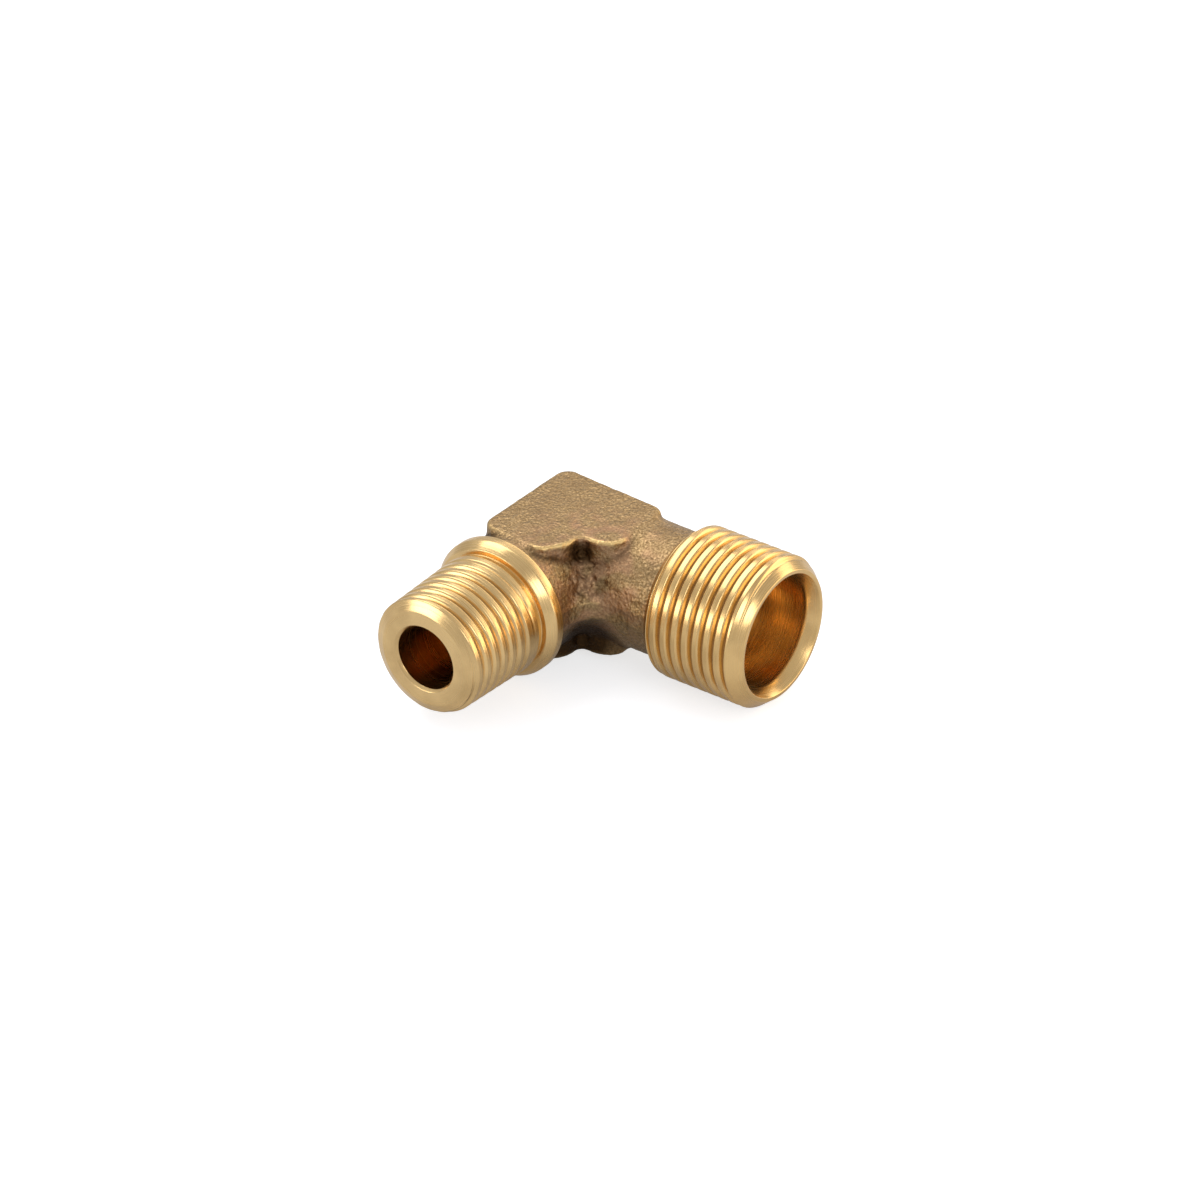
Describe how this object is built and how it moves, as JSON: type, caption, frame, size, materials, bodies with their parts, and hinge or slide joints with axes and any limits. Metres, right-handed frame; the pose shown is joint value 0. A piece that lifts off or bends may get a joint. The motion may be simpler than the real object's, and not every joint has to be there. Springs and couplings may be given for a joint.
{
  "type": "male elbow pipe fitting body",
  "caption": "Forged 90 degree elbow body with a male taper pipe thread on one leg and a male compression thread, tube socket and cone seat on the other.",
  "frame": {"origin": "the point where the axes of the two legs cross", "axes": "+X out of the compression leg, -Y out of the taper leg, +Z square to both legs and to the spanner flats"},
  "size_m": [0.0343, 0.0336, 0.0164],
  "materials": {
    "forged_brass": "as forged and shot blasted, dull and grainy",
    "turned_brass": "turned, bright with fine tool lines"
  },
  "bodies": {
    "root": {"forged_elbow": "forged_brass", "taper_thread_end": "turned_brass", "compression_thread_end": "turned_brass"}
  },
  "joints": []
}
